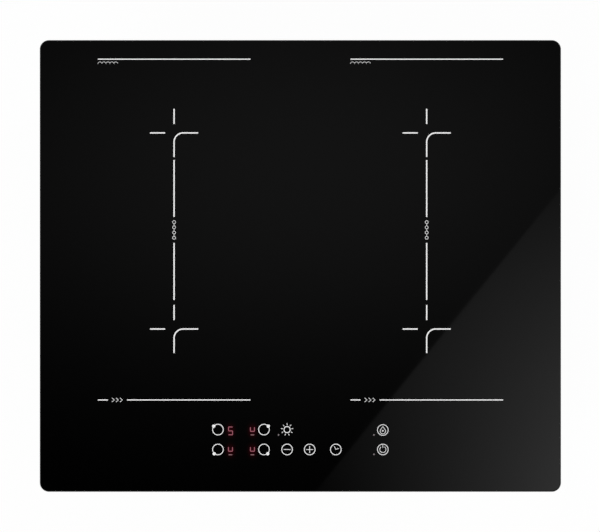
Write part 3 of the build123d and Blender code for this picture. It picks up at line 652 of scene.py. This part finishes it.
def zone_marks(centre):
    """Lines of one double zone: front and rear bars, two corner crosses and the joined middle line."""
    made = Surface()
    made.stroke([(centre + line_left, line_rear_y), (centre + line_right, line_rear_y)], line_width)
    made.stroke([(centre + line_left, line_front_y), (centre + word_left, line_front_y)], line_width)
    made.stroke([(centre + word_right, line_front_y), (centre + line_right, line_front_y)], line_width)
    for y in cross_y:
        made.stroke([(centre, y + mark_gap), (centre, y + mark_reach)], mark_width)
        made.stroke([(centre - mark_reach, y), (centre - mark_gap, y)], mark_width)
        bend = arc(centre + mark_bend, y - mark_bend, mark_bend, 180.0, 90.0)
        made.stroke(np.vstack([(centre, y - mark_reach), bend, (centre + mark_reach, y)]), mark_width)
    rear, front = cross_y
    made.stroke([(centre, rear - long_from_rear), (centre, long_gap_rear)], mark_width)
    made.stroke([(centre, long_gap_front), (centre, front + long_from_front)], mark_width)
    return made


def zone_signs(centre):
    """Small generic signs in the line gaps: coil humps, three chevrons and a chain of rings."""
    made = Surface()
    start = centre + line_left + hump_r
    hump_y = line_rear_y - hump_drop
    humps = [arc(start + 2 * hump_r * i, hump_y, hump_r, 180.0, 15.0, 12) for i in range(hump_count)]
    made.stroke(np.vstack(humps), hump_stroke)
    middle = centre + (word_left + word_right) / 2
    for shift in (-chevron_pitch, 0.0, chevron_pitch):
        made.stroke([(middle + shift + x, line_front_y + y) for x, y in chevron], chevron_stroke)
    gap_middle = (long_gap_rear + long_gap_front) / 2
    for place in (-1.5, -0.5, 0.5, 1.5):
        made.stroke(ring(centre, gap_middle + place * chain_pitch, chain_r, 24), chain_stroke, True)
    for place in (-1, 0, 1):
        y = gap_middle + place * chain_pitch
        made.stroke([(centre, y - chain_link), (centre, y + chain_link)], chain_stroke)
    return made


zones = (("left", -zone_x), ("right", zone_x))
for side, centre in zones:
    zone_marks(centre).build(f"zone_marks_{side}", white_print, "block_plastic")
    zone_signs(centre).build(f"zone_signs_{side}", grey_print, "block_plastic")


def key_marks():
    """Symbols of the touch keys, each drawn from rings, bars and dots about its own centre."""
    made = Surface()
    # Zone keys: a ring with a dot towards its own corner of the hob
    for y, (dot_x, dot_y) in ((rear_row, dot_rear), (front_row, dot_front)):
        for x, sign in ((col_left, -1), (col_right, 1)):
            made.stroke(ring(x, y, key_r), key_stroke, True)
            made.disc(x + sign * dot_x, y + dot_y, dot_r, -dot_sink)
    # Warming key: a small sun
    made.stroke(ring(col_minus, rear_row, sun_r), sun_stroke, True)
    middle = np.array([col_minus, rear_row])
    for angle in np.radians(np.arange(sun_rays) * 360.0 / sun_rays - sun_turn):
        out = np.array([math.cos(angle), math.sin(angle)])
        made.stroke([middle + ray_from * out, middle + ray_to * out], thin_stroke)
    # Minus and plus
    for x in (col_minus, col_plus):
        made.stroke(ring(x, front_row, key_r), key_stroke, True)
        made.stroke([(x - bar_half, front_row), (x + bar_half, front_row)], thin_stroke)
    for sign in (-1, 1):
        ends = [(col_plus, front_row + sign * reach) for reach in (plus_gap, bar_half)]
        made.stroke(ends, thin_stroke)
    # Timer
    made.stroke(ring(col_clock, front_row, key_r), key_stroke, True)
    made.stroke([(col_clock + x, front_row + y) for x, y in clock_hands], thin_stroke)
    return made


def right_keys():
    """Lock drop and power symbol in a thinner stroke, each inside its ring."""
    made = Surface()
    rear = rear_row - lock_shift
    for y in (rear, front_row):
        made.stroke(ring(col_power, y, key_r), key_stroke, True)
    belly = arc(col_power, rear - drop_low, drop_r, 150.0, 390.0, 28)
    tip = [(col_power + side, rear + drop_tip) for side in (drop_tip_half, -drop_tip_half)]
    made.stroke(np.vstack([belly, *tip]), thin_stroke, True)
    made.disc(col_power, rear - drop_eye, drop_eye_r)
    made.stroke(arc(col_power, front_row, power_r, 122.0, 418.0, 40), thin_stroke)
    made.stroke([(col_power, front_row + power_from), (col_power, front_row + power_to)], thin_stroke)
    return made


key_marks().build("key_marks", white_print, "block_plastic")
right_keys().build("key_marks_right", printed_frit("soft_print", (0.8, 0.8, 0.8)), "block_plastic")

# Lit figures: a numeral five, and three empty-pan signs with a bar under each
pans = (col_digit_right, rear_row), (col_digit_left, front_row), (col_digit_right, front_row)
bar_length = digit_w - bar_trim


def segment(made, x, y, w, h):
    """One light bar with tapered tips, laid along its longer side."""
    length = max(w, h) / 2
    along = np.array([-1.0, -taper_from, taper_from, 1.0]) * length
    zero = np.zeros(4)
    path = np.stack([along, zero] if w > h else [zero, along], axis=1) + (x, y)
    made.stroke(path, np.array([taper_to, 1.0, 1.0, taper_to]) * min(w, h))


def lit_digits():
    """Seven-segment figures: bars and posts at half the figure's width and height from its middle."""
    made = Surface()
    half_w = (digit_w - digit_stroke) / 2
    half_h = (digit_h - digit_stroke) / 2
    tall = half_h - post_trim
    five_x, five_y = col_digit_left + five_shift[0], rear_row + five_shift[1]
    for level in (-half_h, 0.0, half_h):
        segment(made, five_x, five_y + level, bar_length, digit_stroke)
    for sign in (-1, 1):
        segment(made, five_x + sign * half_w, five_y - sign * half_h / 2, digit_stroke, tall)
    for x, y in pans:
        for side in (-half_w, half_w):
            segment(made, x + side, y + pan_rise, digit_stroke, tall + pan_tall)
        segment(made, x, y - pan_floor, bar_length, digit_stroke)
    return made


def pan_bars():
    """The short bar under each empty-pan sign."""
    made = Surface()
    for x, y in pans:
        segment(made, x, y - pan_bar_drop, bar_length - pan_bar_trim, digit_stroke)
    return made


lit_digits().build("lit_digits", red_light, "display_resin")
pan_bars().build("lit_pan_bars", dim_light, "display_resin")
lamps = Surface()
for x in (lamp_left, lamp_right):
    lamps.disc(x, rear_row - lamp_drop_rear, lamp_r)
lamps.disc(lamp_right, front_row - lamp_drop_front, lamp_r)
lamps.build("lamp_dots", lamp_dot, "display_resin")


def screw_rings(length, steps=24):
    """Hexagon washer head on a plain shank: each ring's radius swells from a circle towards a hexagon.

    A row holds the ring's radius, how far it is a hexagon, and its height over the seat.
    """
    turn = np.arange(steps) * 2 * math.pi / steps
    flat = (turn + math.pi / 6) % (math.pi / 3) - math.pi / 6
    hexagon = math.cos(math.pi / 6) / np.cos(flat)
    rows = (
        (1.5, 0.0, 1.2), (1.9, 0.0, 1.5), (2.45, 0.4, 1.6), (2.9, 1.0, 1.4), (3.0, 1.0, 1.2),
        (3.0, 1.0, 0.55), (3.15, 0.0, 0.42), (3.5, 0.0, 0.34), (3.6, 0.0, 0.2), (3.6, 0.0, 0.0),
        (1.75, 0.0, 0.0), (1.75, 0.0, -length),
    )
    radius, blend, high = np.array(rows).T
    reach = radius[:, None] * (1.0 - blend[:, None] + blend[:, None] * hexagon[None, :])
    level = np.broadcast_to(high[:, None], reach.shape)
    return np.stack([reach * np.cos(turn), reach * np.sin(turn), level], axis=2)


def fit_screws(name, seats, length):
    """Screws set on their seats: the ring pattern is turned so that its axis follows each seat's normal."""
    made = Surface()
    rings = screw_rings(length)
    for place, out in seats:
        out = np.array(out, float)
        right = np.array([0.0, 0.0, 1.0]) if abs(out[2]) < 0.5 else np.array([1.0, 0.0, 0.0])
        up = np.cross(out, right)
        points = np.array(place) + rings[..., :1] * right + rings[..., 1:2] * up + rings[..., 2:] * out
        made.grid(points)
    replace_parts(made.build(name, finishes["zinc_screws"], "zinc_screws"), name.replace("hex_", ""))


case_seats = []
clamp_seats = []
for sign in (-1, 1):
    for y in (-case_screw_y, case_screw_y):
        case_seats.append(((sign * case_half_w, y, case_screw_z), (sign, 0, 0)))
    for x in (-case_screw_x, case_screw_x):
        case_seats.append(((x, sign * case_half_d, case_screw_z), (0, sign, 0)))
    for y in (-clamp_y, clamp_y):
        clamp_seats.append(((sign * clamp_face, y, clamp_screw_z), (sign, 0, 0)))
base_points = [(sign * x, y) for sign in (1, -1) for x, y in pillar_points]
for x in blower_x:
    for angle in np.radians(lug_angles):
        base_points.append((x + lug_reach * math.cos(angle), blower_y + lug_reach * math.sin(angle)))
base_seats = [((x, y, panel_under), (0, 0, -1)) for x, y in base_points]
fit_screws("hex_case_screws", case_seats, case_screw_length)
fit_screws("hex_clamp_screws", clamp_seats, clamp_screw_length)
fit_screws("hex_base_screws", base_seats, base_screw_length)


def wound_coil(x, y, low, high):
    """Flat coil of stranded wire: a tube carried along a spiral, ribbed by strands that twist round it."""
    wire = (high - low) / 2
    width = coil_outer_r - coil_inner_r
    turns = width / (wire_pitch * wire)
    run = np.linspace(0.0, turns * 2 * math.pi, int(turns * turn_steps))[:, None]
    around = (np.arange(wire_sides) * 2 * math.pi / wire_sides)[None, :]
    strand = wire * (1.0 - strand_depth + strand_depth * np.cos(strands * around - strand_turns * run))
    radius = coil_inner_r + wire + (width - 2 * wire) * run / run.max() + strand * np.cos(around)
    level = (low + high) / 2 + strand * np.sin(around)
    made = Surface()
    made.grid(np.stack([x + radius * np.cos(run), y + radius * np.sin(run), level], axis=2))
    return made


for row, y in coil_y.items():
    for side, x in zones:
        low, high = [np.array(corner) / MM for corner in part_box(f"coil_winding_{row}_{side}")]
        coil = wound_coil(x, y, low[2], high[2])
        made = coil.build(f"wound_coil_{row}_{side}", finishes["copper_wire"], "copper_wire", smooth=True)
        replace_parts(made, f"coil_winding_{row}_{side}")


def lid_relief():
    """Moulded relief under the lid: a raised border and four grip ribs near the free end."""
    made = Surface()
    raised = {"high": lid_face, "thick": relief_t}
    border = rounded_outline(border_w, border_d, border_corner, 0.0) + (terminal_x, lid_y)
    made.stroke(border, border_stroke, True, **raised)
    for shift in range(rib_count):
        y = lid_y + rib_shift - rib_pitch * shift
        made.stroke([(terminal_x - rib_half, y), (terminal_x + rib_half, y)], rib_stroke, **raised)
    return made


lid_relief().build("lid_relief", finishes["terminal_plastic"], "terminal_plastic", "terminal_lid")


def inlet_ring(steps=40):
    """Rubber ring round the cable inlet: a profile of radii and heights carried round an axis along Y."""
    profile = np.array([
        (7.05, 0.9), (7.5, 1.4), (8.4, 1.6), (9.2, 1.5), (9.8, 1.0), (10.0, 0.4), (9.8, 0.0), (7.05, 0.0)
    ])
    turn = (np.arange(steps) * 2 * math.pi / steps)[:, None]
    reach, out = profile[None, :, 0], profile[None, :, 1]
    x, z = terminal_x + reach * np.cos(turn), inlet_z + reach * np.sin(turn)
    made = Surface()
    made.grid(np.stack([x, np.broadcast_to(case_half_d + out, x.shape), z], axis=2), True)
    return made


inlet_ring().build("inlet_ring", finishes["silicone"], "silicone", smooth=True)

# Stage: pale floor, far enough down for the open lid, and the reflectors that the glass mirrors
floor_z = (panel_under - floor_drop) * MM


def light_path(finish):
    """One where the camera, a mirror or clear glass looks, nothing where only light is counted."""
    path = finish.node("ShaderNodeLightPath").socket.node
    seen = [Val(finish, path.outputs[f"Is {kind} Ray"]) for kind in ("Camera", "Glossy", "Transmission")]
    return seen[0].top(seen[1]).top(seen[2])


def stage_plane(name, corners, finish):
    """A flat sheet of the stage, which is no part of the hob."""
    mesh = bpy.data.meshes.new(name)
    mesh.from_pydata(corners, [], [tuple(range(len(corners)))])
    mesh.materials.append(finish.material)
    made = bpy.data.objects.new(name, mesh)
    bpy.context.collection.objects.link(made)


def square(half, high):
    """Corners of a level square over the origin, facing up."""
    return [(-half, -half, high), (half, -half, high), (half, half, high), (-half, half, high)]


# The floor is nearly white where it is seen, pale where only light is counted, and clear from below
floor_finish = Finish("studio_floor", {"Roughness": 0.9, "Base Color": (0.86, 0.86, 0.86, 1.0)})
white = floor_finish.node("ShaderNodeEmission", None, {"Color": (1, 1, 1, 1), "Strength": 1.0})
pale = Val(floor_finish, floor_finish.shader.outputs[0])
front = floor_finish.blend(floor_white * light_path(floor_finish), pale, white)
clear = floor_finish.node("ShaderNodeBsdfTransparent")
back = floor_finish.node("ShaderNodeNewGeometry", out="Backfacing")
floor_finish.surface(floor_finish.blend(back, front, clear))
stage_plane("studio_floor", square(floor_half, floor_z), floor_finish)


def reflector(name, level):
    """A card whose brightness follows its own position; only the glass sees it, the camera looks through."""
    finish = Finish(name, {"Base Color": (0, 0, 0, 1), "Specular IOR Level": 0.0, "Emission Strength": 1.0})
    finish.set("Emission Color", finish.mix(level(*finish.axes()[:2]), (0.0, 0.0, 0.0), (1.0, 1.0, 1.0)))
    card = Val(finish, finish.shader.outputs[0])
    clear = finish.node("ShaderNodeBsdfTransparent")
    looked = finish.node("ShaderNodeLightPath", out="Is Camera Ray")
    finish.surface(finish.blend(looked, card, clear))
    return finish


def glow_level(x, y):
    """A broad glow: a bell curve about a point right of the glass's middle and towards its rear."""
    scale = 1.0 + card_height / camera_height
    across = (x - glow_middle[0] * scale) / (glow_spread[0] * scale)
    along = (y - glow_middle[1] * scale) / (glow_spread[1] * scale)
    level = glow_peak * math.e ** (0.0 - across * across - along * along) - glow_dark
    return (level / glass_mirror).top(0.0)


def window_level(x, y):
    """A window that brightens towards its front right corner.

    A slanted plane with a bend, in display values at the glass's millimetres, is turned into light by the
    display curve and divided by the share that the glass mirrors.
    """
    x = x / (window_scale * MM)
    y = y / (window_scale * MM)
    value = window_value + window_slope[0] * x + window_slope[1] * y
    value = value + x * (window_bend[0] * x - window_bend[1] * y) - window_bend[2] * y * y
    return ((value / 255.0 + 0.055) / 1.055).top(0.05) ** 2.4 / glass_mirror - window_dark


stage_plane("glow_card", square(card_half, card_height)[::-1], reflector("glow_card", glow_level))
window_scale = 1.0 + window_height / camera_height
edge_point = np.array(window_edge) * window_scale
edge_run = np.array(window_run)
edge_side = np.array([edge_run[1], -edge_run[0]])
edge_rear = edge_point + window_rear * edge_run
edge_front = edge_point - window_front * edge_run
far_side = [edge_front + window_depth * edge_side, edge_rear + window_depth * edge_side]
window_corners = [(*p, window_height) for p in (edge_rear, edge_front, *far_side)]
stage_plane("window_card", window_corners[::-1], reflector("window_card", window_level))

# Even light from all round, and a white background where it is seen, which mirrors find darker overhead
world = bpy.data.worlds.new("studio")
bpy.context.scene.world = world
world.use_nodes = True
sky = Finish("studio", tree=world.node_tree)
soft = sky.node("ShaderNodeBackground", None, {"Color": (1, 1, 1, 1), "Strength": sky_light})
seen = sky.node("ShaderNodeBackground", None, {"Color": (1, 1, 1, 1), "Strength": 1.0})
both = sky.blend(light_path(sky), soft, seen)
dark = sky.node("ShaderNodeBackground", None, {"Color": (0, 0, 0, 1), "Strength": 0.0})
rise = (sky.axes()[2] / ceiling_rise) ** 2
overhead = ceiling_dark - ceiling_dark * (1.0 + rise * rise) ** -1.0
mirrored = overhead * sky.node("ShaderNodeLightPath", out="Is Glossy Ray")
sky.surface(sky.blend(mirrored, both, dark), "World Output")


def softbox(name, place, size, power):
    """A square area light that faces the hob, placed in metres."""
    lamp = bpy.data.lights.new(name, "AREA")
    lamp.shape = "SQUARE"
    lamp.size = size
    lamp.energy = power
    made = bpy.data.objects.new(name, lamp)
    made.location = place
    made.rotation_mode = "QUATERNION"
    made.rotation_quaternion = made.location.to_track_quat("Z", "Y")
    bpy.context.collection.objects.link(made)


softbox("key_light", (-2.4, -1.8, 2.6), 1.5, 62.0)
softbox("fill_light", (2.6, 1.6, 2.2), 1.5, 34.0)

lens = bpy.data.cameras.new("camera")
lens.lens = camera_lens
lens.sensor_width = camera_sensor
lens.sensor_fit = "HORIZONTAL"
lens.clip_end = 100.0
camera = bpy.data.objects.new("camera", lens)
camera.location = (camera_x, camera_y, camera_height)
bpy.context.collection.objects.link(camera)
bpy.context.scene.camera = camera
bpy.context.scene.view_settings.view_transform = "Standard"
